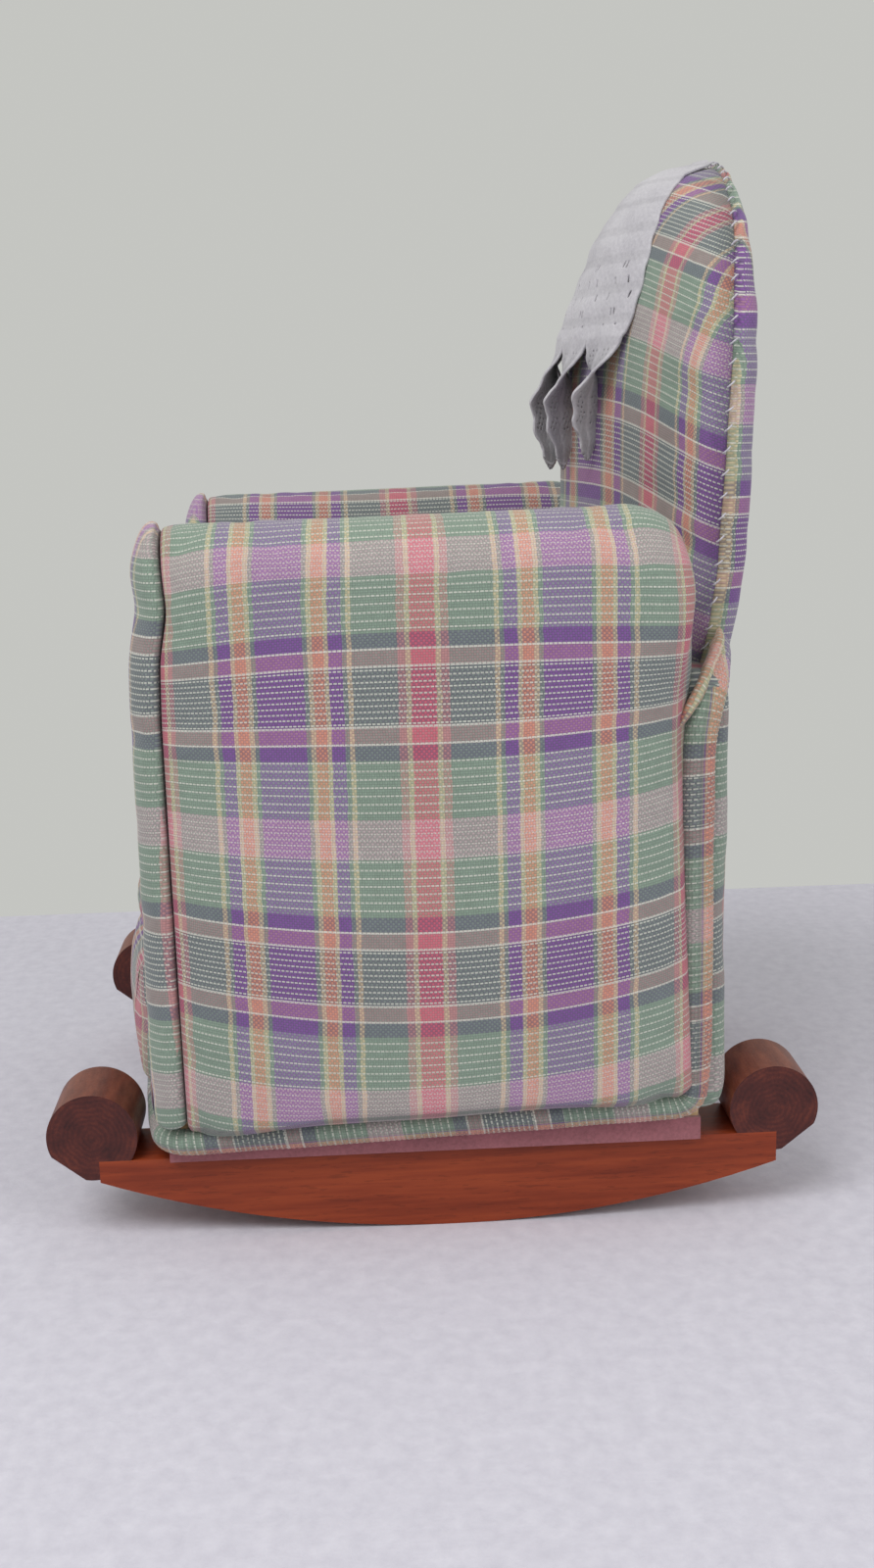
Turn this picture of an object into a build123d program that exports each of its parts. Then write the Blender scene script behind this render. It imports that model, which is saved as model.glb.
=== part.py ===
from build123d import *

import math
import os

# Miniature upholstered rocking chair for a doll's house or a display shelf, in millimetres.
# +Z is up, +X is the sitter's left, the chair faces -Y, and the floor is Z = 0.
# A plywood carcass stands on two wooden runners, is padded with wadding and covered in plaid cotton.

# Runners: a plank with a curved underside, and a slice of dowel scrolled onto each end
runner_outer_x = 52.5
runner_thickness = 14.0
runner_top_z = 15.0
runner_front_y = -60.0
runner_rear_y = 61.5
rocking_radius = 186.0
rocking_low_y = 3.0
scroll_radius = 8.0
scroll_centre_y = 61.0
scroll_centre_z = 19.5
scroll_flat = 7.1
scroll_flat_slope = 51.5

# Screws that hold the base to the runners
screw_shank_radius = 1.1
screw_head_radius = 2.2
screw_head_depth = 1.5
screw_bottom_z = 6.0
screw_point = 2.0
screw_y = 30.0

# Base board in its felt, and the carcass boards that stand on it
felt_thickness = 0.8
base_board_thickness = 3.4
base_half_width = 53.4
base_half_depth = 46.5
base_top_z = runner_top_z + felt_thickness + base_board_thickness
board_thickness = 3.0
side_board_thickness = 6.0
carcass_front_y = -44.0
carcass_rear_y = 44.0
side_board_top_z = 116.0
side_board_corner = 10.0
deck_top_z = base_top_z + 30.0
back_board_top_z = 98.0

# Backrest board, arched and leaning back against the carcass
backrest_lean = 5.0
backrest_board_half_width = 32.0
backrest_board_top_z = 180.0

# Fabric covers
cover_thickness = 0.8
trim_gap = 0.2

# Arms
arm_inner_x = 41.0
arm_outer_x = 61.8
arm_bottom_z = base_top_z + 4.8
arm_shoulder_z = 116.0
arm_top_z = 127.5
arm_top_rise = 1.0
arm_rear_corner = 12.0
arm_front_pad = 5.0
arm_card_thickness = 1.0
arm_card_margin = 1.6
arm_front_rounding = 1.8

# Padded apron below the seat
apron_bottom_z = base_top_z + 4.4
apron_half_width = arm_inner_x - trim_gap
apron_bow_y = -57.0
apron_side_y = -51.0

# Backrest padding
backrest_half_width = 40.7
backrest_top_z = 188.0
crown_overshoot = 2.5
backrest_front_y = 30.0
backrest_rear_y = 58.6

# Padding of the carcass's back
body_back_depth = 4.5

# Piping cord round the foot of the upholstery
piping_radius = 2.1
piping_x = 55.7
piping_z = base_top_z + piping_radius
piping_front_y = -47.6
piping_rear_y = 47.4
piping_bow = [(45.0, -49.6), (22.0, -52.6)]

# Loose seat cushion
cushion_half_width = 40.4
cushion_bottom_z = deck_top_z + 0.4
cushion_top_z = 61.4
cushion_rear_y = 29.4
cushion_front_y = -56.6
cushion_bow = 4.4
cushion_front_rounding = 5.2
cushion_rear_rounding = 3.0

# Lace doily over the top of the backrest
doily_half_width = 27.0
doily_lobes = 5
doily_lobe_depth = 14.0
doily_valley_z = 149.0
doily_thickness = 0.9
doily_clearance = 0.4
doily_rear_y = 55.0


def along_x(outline, start, end):
    """Extrudes an outline drawn in (Y, Z) from X = start to X = end."""
    return extrude(Plane.YZ.offset(start) * outline, amount=end - start)


def along_y(outline, start, end):
    """Extrudes an outline drawn in (X, Z) from Y = start to Y = end."""
    return extrude(Plane.XZ.offset(-end) * outline, amount=end - start)


def along_z(outline, start, end):
    """Extrudes an outline drawn in (X, Y) from Z = start to Z = end."""
    return extrude(Plane.XY.offset(start) * outline, amount=end - start)


def block(x_range, y_range, z_range):
    """Box between two corners."""
    size = [high - low for low, high in (x_range, y_range, z_range)]
    middle = [(high + low) / 2 for low, high in (x_range, y_range, z_range)]
    return Pos(*middle) * Box(*size)


def closed(*edges):
    """Face inside a closed loop of edges given in order."""
    return make_face([edge for part in edges for edge in part.edges()])


def both_sides(name, solid):
    """The +X piece and its mirror image, named left and right as the sitter would."""
    return {f"left_{name}": solid, f"right_{name}": mirror(solid, Plane.YZ)}


# ---------------------------------------------------------------- runners


def rocking_height(y):
    """Height of the runner's curved underside."""
    return rocking_radius - math.sqrt(rocking_radius**2 - (y - rocking_low_y) ** 2)


def runner_outline():
    front = (runner_front_y, rocking_height(runner_front_y))
    rear = (runner_rear_y, rocking_height(runner_rear_y))
    top = Polyline(front, (runner_front_y, runner_top_z), (runner_rear_y, runner_top_z), rear)
    return closed(top, ThreePointArc(rear, (rocking_low_y, 0), front))


def scroll_outline(end):
    """Dowel slice, notched over the plank's end and flattened where the runner sweeps up. end is -1 or 1."""
    centre = Pos(end * scroll_centre_y, scroll_centre_z)
    turn = -scroll_flat_slope if end > 0 else scroll_flat_slope - 180
    flat = Rot(0, 0, turn) * Pos(scroll_flat + scroll_radius, 0) * Rectangle(2 * scroll_radius, 4 * scroll_radius)
    return centre * (Circle(scroll_radius) - flat) - runner_outline()


def screw():
    """Countersunk wood screw, head flush with the top of the base board."""
    neck_z = base_top_z - screw_head_depth
    outline = Polyline(
        (0, screw_bottom_z),
        (screw_shank_radius, screw_bottom_z + screw_point),
        (screw_shank_radius, neck_z),
        (screw_head_radius, base_top_z),
        (0, base_top_z),
        close=True,
    )
    return revolve(Plane.XZ * make_face(outline), axis=Axis.Z)


def screws():
    runner_x = runner_outer_x - runner_thickness / 2
    return [Pos(x, y, 0) * screw() for x in (-runner_x, runner_x) for y in (-screw_y, screw_y)]


def runners():
    inner_x = runner_outer_x - runner_thickness
    plank = along_x(runner_outline(), inner_x, runner_outer_x) - screws()
    parts = both_sides("rocker", plank)
    for place, end in (("front", -1), ("rear", 1)):
        parts |= both_sides(f"{place}_scroll", along_x(scroll_outline(end), inner_x, runner_outer_x))
    parts["rocker_screws"] = Compound(children=screws())
    return parts


# ---------------------------------------------------------------- carcass


def backrest_arch(half_width, top_z, bottom_z):
    """Upright outline in (X, Z) with a round top."""
    spring_z = top_z - half_width
    corners = Polyline((-half_width, spring_z), (-half_width, bottom_z), (half_width, bottom_z), (half_width, spring_z))
    return closed(corners, ThreePointArc((half_width, spring_z), (0, top_z), (-half_width, spring_z)))


def backrest_board():
    """Arched board that stands on the deck and leans back on the top edge of the carcass."""
    cosine = math.cos(math.radians(backrest_lean))
    rise = (backrest_board_top_z - back_board_top_z) / cosine
    drop = (back_board_top_z - deck_top_z - cover_thickness) / cosine
    outline = backrest_arch(backrest_board_half_width, rise, -drop)
    upright = along_y(outline, -board_thickness, 0)
    return Pos(0, carcass_rear_y, back_board_top_z) * Rot(-backrest_lean, 0, 0) * upright


def side_board():
    inner_x = base_half_width - side_board_thickness
    outline = closed(
        Polyline(
            (carcass_front_y, base_top_z),
            (carcass_rear_y, base_top_z),
            (carcass_rear_y, side_board_top_z),
            (carcass_front_y, side_board_top_z),
            close=True,
        )
    )
    corner = outline.vertices().sort_by_distance((carcass_rear_y, side_board_top_z))[0]
    return along_x(fillet(corner, side_board_corner), inner_x, base_half_width)


def carcass():
    inner_x = base_half_width - side_board_thickness
    felt_half_width = base_half_width + felt_thickness
    felt_half_depth = base_half_depth + felt_thickness
    board_z = (runner_top_z + felt_thickness, base_top_z)
    board = block((-base_half_width, base_half_width), (-base_half_depth, base_half_depth), board_z)
    wrap = block(
        (-felt_half_width, felt_half_width),
        (-felt_half_depth, felt_half_depth),
        (runner_top_z, base_top_z),
    )
    front_inner_y = carcass_front_y + board_thickness
    return {
        "base_board": board - screws(),
        "base_felt": wrap - board - screws(),
        **both_sides("side_board", side_board()),
        "front_board": block((-inner_x, inner_x), (carcass_front_y, front_inner_y), (base_top_z, deck_top_z)),
        "seat_deck": block(
            (-inner_x, inner_x),
            (front_inner_y, carcass_rear_y),
            (deck_top_z - board_thickness, deck_top_z),
        ),
        "carcass_back_board": block(
            (-base_half_width, base_half_width),
            (carcass_rear_y, carcass_rear_y + board_thickness),
            (base_top_z, back_board_top_z),
        ),
        "backrest_board": backrest_board(),
    }


# ---------------------------------------------------------------- arms


def arm_section():
    """Arm seen from the front, in (X, Z): slightly bulging sides under a round crown."""
    middle_x = (arm_inner_x + arm_outer_x) / 2
    outer_foot = (arm_outer_x - 1.6, arm_bottom_z)
    outer_shoulder = (arm_outer_x - 1.0, arm_shoulder_z)
    inner_shoulder = (arm_inner_x + 1.0, arm_shoulder_z)
    inner_foot = (arm_inner_x + 0.6, arm_bottom_z)
    return closed(
        ThreePointArc(outer_foot, (arm_outer_x, 72), outer_shoulder),
        ThreePointArc(outer_shoulder, (middle_x, arm_top_z), inner_shoulder),
        ThreePointArc(inner_shoulder, (arm_inner_x, 80), inner_foot),
        Line(inner_foot, outer_foot),
    )


def arm_profile():
    """Arm seen from the side, in (Y, Z). It runs on past the front, where the pad closes it."""
    open_y = carcass_front_y - 2 * arm_front_pad
    outline = closed(
        Polyline(
            (open_y, arm_bottom_z),
            (carcass_rear_y, arm_bottom_z),
            (carcass_rear_y, arm_top_z + arm_top_rise),
            (open_y, arm_top_z - arm_top_rise),
            close=True,
        )
    )
    corner = outline.vertices().sort_by_distance((carcass_rear_y, arm_top_z))[0]
    return fillet(corner, arm_rear_corner)


def arm_form(inset):
    """Padded arm, drawn in by inset on every side but the open front, and cut away over the seat deck's edge."""
    section = offset(arm_section(), -inset)
    profile = offset(arm_profile(), -inset)
    solid = along_y(section, carcass_front_y, carcass_rear_y)
    solid &= along_x(profile, 0, 2 * arm_outer_x)
    under_deck = block(
        (0, base_half_width - side_board_thickness),
        (carcass_front_y, carcass_rear_y),
        (0, deck_top_z),
    )
    return solid - under_deck


def arm_front_pad_solid():
    """Padded panel on the front of the arm with rounded edges, without the card that it is wrapped round."""
    front_y = carcass_front_y - arm_front_pad
    depth = 4 * arm_front_pad
    width = arm_outer_x - arm_inner_x
    height = arm_top_z - arm_bottom_z
    plan = RectangleRounded(width, depth, arm_front_rounding)
    profile = RectangleRounded(depth, height, arm_front_rounding)
    solid = along_y(arm_section(), front_y, carcass_front_y)
    solid &= along_z(Pos(arm_inner_x + width / 2, front_y + depth / 2) * plan, 0, 2 * arm_top_z)
    return solid & along_x(Pos(front_y + depth / 2, arm_bottom_z + height / 2) * profile, 0, 2 * arm_outer_x)


def arms():
    card_outline = offset(arm_section(), -arm_card_margin)
    card = along_y(card_outline, carcass_front_y - arm_card_thickness, carcass_front_y)
    inside = arm_form(cover_thickness)
    return {
        **both_sides("arm_wadding", inside - side_board()),
        **both_sides("arm_cover", arm_form(0) - inside - side_board()),
        **both_sides("arm_front_card", card),
        **both_sides("arm_front_pad", arm_front_pad_solid() - card),
    }


# ---------------------------------------------------------------- apron


def apron_form(inset):
    """Bowed padding in front of the carcass below the seat, drawn in by inset on its outer sides."""
    hidden_y = carcass_front_y + 4 * cover_thickness
    top_z = deck_top_z - trim_gap
    plan_sides = Polyline(
        (-apron_half_width, apron_side_y),
        (-apron_half_width, hidden_y),
        (apron_half_width, hidden_y),
        (apron_half_width, apron_side_y),
    )
    bow = ThreePointArc((apron_half_width, apron_side_y), (0, apron_bow_y), (-apron_half_width, apron_side_y))
    foot = (apron_side_y - 1.0, apron_bottom_z)
    lip = (apron_bow_y + 2.0, top_z)
    profile_sides = Polyline(foot, (hidden_y, apron_bottom_z), (hidden_y, top_z), lip)
    belly = ThreePointArc(lip, (apron_bow_y, (apron_bottom_z + top_z) / 2 + 2.0), foot)
    plan = offset(closed(plan_sides, bow), -inset)
    profile = offset(closed(profile_sides, belly), -inset)
    solid = along_z(plan, 0, 2 * top_z) & along_x(profile, -2 * apron_half_width, 2 * apron_half_width)
    return solid - block((-60, 60), (carcass_front_y, 0), (0, 2 * top_z))


def apron():
    inside = apron_form(cover_thickness)
    return {"apron_wadding": inside, "apron_cover": apron_form(0) - inside}


# ---------------------------------------------------------------- backrest and back


def backrest_profile():
    """Backrest seen from the side, in (Y, Z): from the seat deck, over the carcass's back, to the rounded top."""
    foot_z = deck_top_z + trim_gap
    shelf_y = carcass_rear_y + board_thickness + body_back_depth
    lower = Polyline(
        (backrest_front_y, 120),
        (backrest_front_y + 1, foot_z),
        (carcass_rear_y, foot_z),
        (carcass_rear_y, back_board_top_z),
        (shelf_y, back_board_top_z),
    )
    crown_z = backrest_top_z + crown_overshoot
    crown_rear = (backrest_rear_y - 1, crown_z - 4)
    crown_front = (backrest_rear_y - 11, crown_z - 3)
    return closed(
        lower,
        ThreePointArc((shelf_y, back_board_top_z), (backrest_rear_y, 140), crown_rear),
        ThreePointArc(crown_rear, (backrest_rear_y - 5, crown_z), crown_front),
        ThreePointArc(crown_front, (backrest_front_y + 3.4, 160), (backrest_front_y, 120)),
    )


def backrest_plan():
    """Backrest seen from above, in (X, Y): strongly crowned at the front."""
    side_y = backrest_front_y + 10
    rear_y = backrest_rear_y + 10
    sides = Polyline(
        (-backrest_half_width, side_y),
        (-backrest_half_width, rear_y),
        (backrest_half_width, rear_y),
        (backrest_half_width, side_y),
    )
    crown = ThreePointArc(
        (backrest_half_width, side_y), (0, backrest_front_y - 1), (-backrest_half_width, side_y)
    )
    return closed(sides, crown)


def backrest_form(inset):
    """Padded backrest, drawn in by inset on every side, or grown where inset is negative."""
    arch = offset(backrest_arch(backrest_half_width, backrest_top_z, deck_top_z), -inset)
    profile = offset(backrest_profile(), -inset)
    plan = offset(backrest_plan(), -inset)
    reach = 2 * backrest_half_width
    solid = along_y(arch, 0, reach) & along_x(profile, -reach, reach)
    return solid & along_z(plan, 0, 2 * backrest_top_z)


def behind_seam():
    """Space behind the seam that joins the backrest's front cover to its rear panel."""
    far_y = 2 * backrest_rear_y
    seam = Polyline(
        (carcass_rear_y + 5.5, back_board_top_z - 1),
        (backrest_rear_y - 4.2, 130),
        (backrest_rear_y - 3.8, 2 * backrest_top_z),
        (far_y, 2 * backrest_top_z),
        (far_y, back_board_top_z - 1),
        close=True,
    )
    reach = 2 * backrest_half_width
    return along_x(make_face(seam), -reach, reach)


def backrest():
    outside = backrest_form(0)
    inside = backrest_form(cover_thickness)
    filling = inside - behind_seam() - backrest_board()
    skin_x = backrest_half_width - cover_thickness
    open_back = block(
        (-skin_x, skin_x),
        (carcass_rear_y - 3 * board_thickness, 2 * backrest_rear_y),
        (0, back_board_top_z + cover_thickness),
    )
    return {
        "backrest_wadding": filling.solids().sort_by(SortBy.VOLUME)[-1],
        "backrest_cover": outside - inside - behind_seam() - open_back,
        "backrest_rear_panel": outside & behind_seam(),
    }


def body_back():
    """Padded panel over the back of the carcass."""
    front_y = carcass_rear_y + board_thickness
    skin = cover_thickness
    panel = block(
        (-base_half_width, base_half_width),
        (front_y, front_y + body_back_depth),
        (base_top_z, back_board_top_z),
    )
    filling = block(
        (skin - base_half_width, base_half_width - skin),
        (front_y, front_y + body_back_depth - skin),
        (base_top_z + skin, back_board_top_z - skin),
    )
    return {"body_back_wadding": filling, "body_back_cover": panel - filling}


# ---------------------------------------------------------------- trim


def piping():
    """Covered cord round the foot of the upholstery, turning up both rear edges."""
    half = [(piping_x, piping_rear_y, back_board_top_z), (piping_x, piping_rear_y, piping_z)]
    half += [(piping_x, piping_front_y, piping_z)]
    half += [(x, y, piping_z) for x, y in piping_bow]
    points = half + [(-x, y, z) for x, y, z in reversed(half)]
    corner_radii = [5.0, 5.0, 24.0, 40.0]
    path = FilletPolyline(*points, radius=corner_radii + corner_radii[::-1])
    start = Plane(origin=points[0], z_dir=(0, 0, -1))
    return {"foot_piping": sweep(start * Circle(piping_radius), path=path)}


def doily():
    """Lace doily lying over the crown of the backrest, with pointed lobes at its lower edge."""
    pitch = 2 * doily_half_width / doily_lobes
    edge = [(-doily_half_width, doily_valley_z)]
    for lobe in range(doily_lobes):
        left = -doily_half_width + lobe * pitch
        edge.append((left + pitch / 2, doily_valley_z - doily_lobe_depth))
        edge.append((left + pitch, doily_valley_z))
    top_z = 2 * backrest_top_z
    outline = Polyline((-doily_half_width, top_z), *edge, (doily_half_width, top_z), close=True)
    sheet = backrest_form(-doily_clearance - doily_thickness) - backrest_form(-doily_clearance)
    return {"lace_doily": sheet & along_y(make_face(outline), 0, doily_rear_y)}


# ---------------------------------------------------------------- loose seat cushion


def cushion_form(inset):
    """Seat cushion, drawn in by inset on every side."""
    corner_y = cushion_front_y + cushion_bow
    plan_sides = Polyline(
        (-cushion_half_width, corner_y),
        (-cushion_half_width, cushion_rear_y),
        (cushion_half_width, cushion_rear_y),
        (cushion_half_width, corner_y),
    )
    bow = ThreePointArc((cushion_half_width, corner_y), (0, cushion_front_y), (-cushion_half_width, corner_y))
    profile = closed(
        Polyline(
            (cushion_front_y, cushion_bottom_z),
            (cushion_rear_y, cushion_bottom_z),
            (cushion_rear_y, cushion_top_z),
            (cushion_front_y, cushion_top_z),
            close=True,
        )
    )
    profile = fillet(profile.vertices().group_by(Axis.X)[0], cushion_front_rounding)
    profile = fillet(profile.vertices().group_by(Axis.X)[-1], cushion_rear_rounding)
    plan = offset(closed(plan_sides, bow), -inset)
    reach = 2 * cushion_half_width
    return along_z(plan, 0, 2 * cushion_top_z) & along_x(offset(profile, -inset), -reach, reach)


def cushion():
    filling = cushion_form(cover_thickness)
    return {"seat_cushion_filling": filling, "seat_cushion_cover": cushion_form(0) - filling}


# ---------------------------------------------------------------- all pieces

pieces = {
    **runners(),
    **carcass(),
    **arms(),
    **apron(),
    **backrest(),
    **body_back(),
    **piping(),
    **doily(),
    **cushion(),
}

os.makedirs("parts", exist_ok=True)
for name, piece in pieces.items():
    export_step(piece, f"parts/{name}.step")
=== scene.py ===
import math

import bmesh
import bpy
import numpy as np
from mathutils import Matrix, Vector, noise


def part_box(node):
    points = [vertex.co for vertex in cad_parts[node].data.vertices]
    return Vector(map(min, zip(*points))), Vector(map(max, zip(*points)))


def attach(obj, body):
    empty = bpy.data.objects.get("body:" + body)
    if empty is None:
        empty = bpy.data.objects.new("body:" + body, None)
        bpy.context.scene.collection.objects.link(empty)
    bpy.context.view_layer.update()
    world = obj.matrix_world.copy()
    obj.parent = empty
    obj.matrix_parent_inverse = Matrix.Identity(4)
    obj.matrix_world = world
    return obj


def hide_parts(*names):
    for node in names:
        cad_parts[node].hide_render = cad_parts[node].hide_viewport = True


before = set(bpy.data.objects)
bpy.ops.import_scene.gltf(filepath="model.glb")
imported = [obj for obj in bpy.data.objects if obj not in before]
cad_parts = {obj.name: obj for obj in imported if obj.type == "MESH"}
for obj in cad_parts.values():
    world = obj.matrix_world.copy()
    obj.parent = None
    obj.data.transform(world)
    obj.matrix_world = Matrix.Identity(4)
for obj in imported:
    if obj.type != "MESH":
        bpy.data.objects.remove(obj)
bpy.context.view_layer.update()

# Lengths below are millimetres until a mesh is made, and metres in Blender.
# +X is the sitter's left, which faces the camera, the chair faces -Y, and +Z is up.
MM = 0.001

CHAIR = "chair"
CUSHION = "cushion"

# Plaid: bands in mm, from the middle of the pink stripe to the middle of the broad purple stripe, then mirrored
WARP = [
    ("pink", 1.95),
    ("cream", 0.85),
    ("rose", 1.2),
    ("sage", 7.3),
    ("cream", 0.8),
    ("sage", 0.7),
    ("purple", 2.2),
    ("cream", 0.75),
    ("peach", 1.85),
    ("cream", 0.8),
    ("sage", 0.8),
    ("purple", 4.0),
]
# and from the middle of the slate band to the middle of the lilac band, with the white cords that cross each
WEFT = [
    ("slate", 4.75, "close"),
    ("lilac", 0.35, "single"),
    ("mauve", 2.5, "none"),
    ("lilac", 0.35, "single"),
    ("indigo", 2.5, "none"),
    ("green", 9.7, "open"),
    ("lilac", 3.4, "dots"),
]
CORDS = {"none": 0.0, "dots": 0.25, "close": 0.5, "open": 0.75, "single": 1.0}
# Each kind of cord: distance between rows, width, length of a dash, and the share of it that lies on top
CORD_ROWS = {
    "close": (0.98, 0.27, 0.72, 0.70),
    "open": (1.37, 0.27, 0.72, 0.74),
    "dots": (1.0, 0.22, 0.54, 0.5),
    "single": (0.7, 0.7, 0.72, 0.78),
}
WARP_COLOURS = {
    "pink": (0.66, 0.11, 0.17),
    "cream": (0.62, 0.50, 0.31),
    "rose": (0.50, 0.24, 0.23),
    "sage": (0.21, 0.26, 0.225),
    "purple": (0.24, 0.08, 0.35),
    "peach": (0.70, 0.28, 0.17),
}
WEFT_COLOURS = {
    "slate": (0.12, 0.11, 0.155),
    "lilac": (0.53, 0.39, 0.41),
    "mauve": (0.36, 0.21, 0.22),
    "indigo": (0.11, 0.105, 0.165),
    "green": (0.23, 0.32, 0.24),
}
WARP_HALF = sum(width for _, width in WARP)
WEFT_HALF = sum(width for _, width, _ in WEFT)
THREAD = 0.42

VARNISH = {"Specular_IOR_Level": 0.3, "Coat_Weight": 0.10}


# ---- shader nodes


class Graph:
    """A material's nodes, written as arithmetic. Sockets go in and out of each call."""

    def __init__(self, name):
        self.material = bpy.data.materials.new(name)
        self.material.use_nodes = True
        self.tree = self.material.node_tree
        self.tree.nodes.clear()
        self.shader = self.node("ShaderNodeBsdfPrincipled")
        out = self.node("ShaderNodeOutputMaterial")
        self.join(self.shader.outputs[0], out.inputs["Surface"])

    def node(self, kind, **settings):
        made = self.tree.nodes.new(kind)
        for key, value in settings.items():
            setattr(made, key, value)
        return made

    def join(self, source, target):
        if hasattr(source, "is_output"):
            self.tree.links.new(source, target)
        else:
            target.default_value = source

    def math(self, operation, *values):
        made = self.node("ShaderNodeMath", operation=operation)
        for value, target in zip(values, made.inputs):
            self.join(value, target)
        return made.outputs[0]

    def product(self, first, *others):
        for value in others:
            first = self.math("MULTIPLY", first, value)
        return first

    def scale_add(self, value, factor, offset):
        return self.math("MULTIPLY_ADD", value, factor, offset)

    def mix(self, factor, a, b, blend="MIX"):
        made = self.node("ShaderNodeMix", data_type="RGBA", blend_type=blend)
        self.join(factor, made.inputs[0])
        self.join(a, made.inputs[6])
        self.join(b, made.inputs[7])
        return made.outputs[2]

    def ramp(self, value, stops, interpolation="LINEAR"):
        made = self.node("ShaderNodeValToRGB")
        made.color_ramp.interpolation = interpolation
        elements = made.color_ramp.elements
        elements[0].position, elements[0].color = stops[0][0], stops[0][1]
        elements.remove(elements[1])
        for place, colour in stops[1:]:
            elements.new(place).color = colour
        self.join(value, made.inputs[0])
        return made

    def place(self, kind="Object"):
        return self.node("ShaderNodeTexCoord").outputs[kind]

    def scaled(self, vector, scale):
        made = self.node("ShaderNodeVectorMath", operation="MULTIPLY")
        self.join(vector, made.inputs[0])
        made.inputs[1].default_value = scale
        return made.outputs[0]

    def cloth(self):
        """The cloth attribute: a point's place across and along the flat cloth, in mm, and its painted shade.
        """
        return self.split(self.node("ShaderNodeAttribute", attribute_name="cloth").outputs["Vector"])

    def noise(self, vector, scale, detail=3.0, roughness=0.55):
        made = self.node("ShaderNodeTexNoise")
        self.join(vector, made.inputs["Vector"])
        made.inputs["Scale"].default_value = scale
        made.inputs["Detail"].default_value = detail
        made.inputs["Roughness"].default_value = roughness
        return made.outputs[0]

    def split(self, vector):
        made = self.node("ShaderNodeSeparateXYZ")
        self.join(vector, made.inputs[0])
        return made.outputs

    def finish(self, colour, height=None, depth=0.05, roughness=0.9, strength=1.0, **constants):
        self.join(colour, self.shader.inputs["Base Color"])
        self.join(roughness, self.shader.inputs["Roughness"])
        for name, value in constants.items():
            self.shader.inputs[name.replace("_", " ")].default_value = value
        if height is not None:
            bump = self.node("ShaderNodeBump")
            bump.inputs["Distance"].default_value = depth * MM
            bump.inputs["Strength"].default_value = strength
            self.join(height, bump.inputs["Height"])
            self.join(bump.outputs[0], self.shader.inputs["Normal"])
        return self.material


def bands(widths, colours, total):
    """Ramp stops for bands laid side by side over 0 to 1."""
    stops = []
    at = 0.0
    for width, colour in zip(widths, colours):
        stops.append((at / total, colour))
        at += width
    return stops


# ---- materials


def plaid():
    """Plain-woven cotton, with painted shade between its threads and wherever the cloth attribute carries
    shade.
    """
    g = Graph("plaid_cotton")
    across, along, shade = g.cloth()
    wobble = g.noise(g.place(), 260.0, 2.0)
    across = g.math("ADD", across, g.product(g.math("SUBTRACT", wobble, 0.5), 0.5))
    warp_stops = bands([w for _, w in WARP], [(*WARP_COLOURS[c], 1.0) for c, _ in WARP], WARP_HALF)
    folded = g.math("DIVIDE", g.math("PINGPONG", across, WARP_HALF), WARP_HALF)
    warp = g.ramp(folded, warp_stops, "CONSTANT").outputs[0]
    weft_stops = bands([w for _, w, _ in WEFT], [(*WEFT_COLOURS[c], CORDS[k]) for c, _, k in WEFT], WEFT_HALF)
    folded = g.math("DIVIDE", g.math("PINGPONG", along, WEFT_HALF), WEFT_HALF)
    weft, kind = g.ramp(folded, weft_stops, "CONSTANT").outputs

    # Threads over and under: checker of warp-up and weft-up squares, each thread rounded
    u = g.math("DIVIDE", across, THREAD)
    v = g.math("DIVIDE", along, THREAD)
    parity = g.math("ADD", g.math("FLOOR", u), g.math("FLOOR", v))
    warp_up = g.math("GREATER_THAN", g.math("PINGPONG", parity, 1.0), 0.5)
    weft_up = g.math("SUBTRACT", 1.0, warp_up)

    def rounded(x):
        off = g.math("SUBTRACT", g.math("FRACT", x), 0.5)
        return g.math("SUBTRACT", 1.0, g.product(off, off, 4.0))

    round_u, round_v = rounded(u), rounded(v)
    warp_height = g.product(warp_up, round_u, g.scale_add(round_v, 0.4, 0.6))
    weft_height = g.product(weft_up, round_v, g.scale_add(round_u, 0.4, 0.6))
    height = g.math("MAXIMUM", warp_height, weft_height)
    colour = g.mix(g.scale_add(warp_up, 0.38, 0.33), weft, warp)

    # White cords along the weft, in dashes
    cord = 0.0
    for name, (pitch, width, dash, on_top) in CORD_ROWS.items():
        here = g.math("COMPARE", kind, CORDS[name], 0.1)
        row = g.math("DIVIDE", along, pitch)
        off = g.math("ABSOLUTE", g.math("SUBTRACT", g.math("FRACT", row), 0.5))
        on_row = g.math("LESS_THAN", off, width / pitch / 2)
        shift = g.product(g.math("FLOOR", row), 0.5)
        step = g.math("FRACT", g.math("ADD", g.math("DIVIDE", across, dash), shift))
        shown = g.math("LESS_THAN", step, on_top)
        cord = g.math("ADD", cord, g.product(here, on_row, shown))
    cord = g.math("MINIMUM", cord, 1.0)
    fibre = g.noise(g.place(), 2600.0, 2.0)
    white = g.mix(fibre, (0.46, 0.47, 0.41, 1.0), (0.70, 0.70, 0.63, 1.0))
    colour = g.mix(g.product(cord, 0.8), colour, white)

    # Painted shade: darker between the rounded threads, but not under a white cord
    painted_weave_shade = g.math("MAXIMUM", g.scale_add(height, 0.34, 0.73), g.product(cord, 0.95))
    slub = g.scale_add(g.noise(g.place(), 900.0, 3.0), 0.30, 0.87)
    worn = g.scale_add(g.noise(g.place(), 55.0, 2.0), 0.16, 0.92)
    # Painted shade (between the threads, and the cloth's shade along seams and grooves) times the yarn's own
    # uneven tone
    tone = g.product(painted_weave_shade, slub, worn, g.math("SUBTRACT", 1.0, shade))
    colour = g.mix(1.0, colour, tone, "MULTIPLY")
    relief = g.math("ADD", height, g.product(cord, 0.8))
    rough = g.scale_add(fibre, 0.15, 0.8)
    sheen = {"Sheen_Weight": 0.25, "Sheen_Roughness": 0.5}
    return g.finish(colour, relief, 0.07, rough, 0.7, Specular_IOR_Level=0.25, **sheen)


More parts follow.
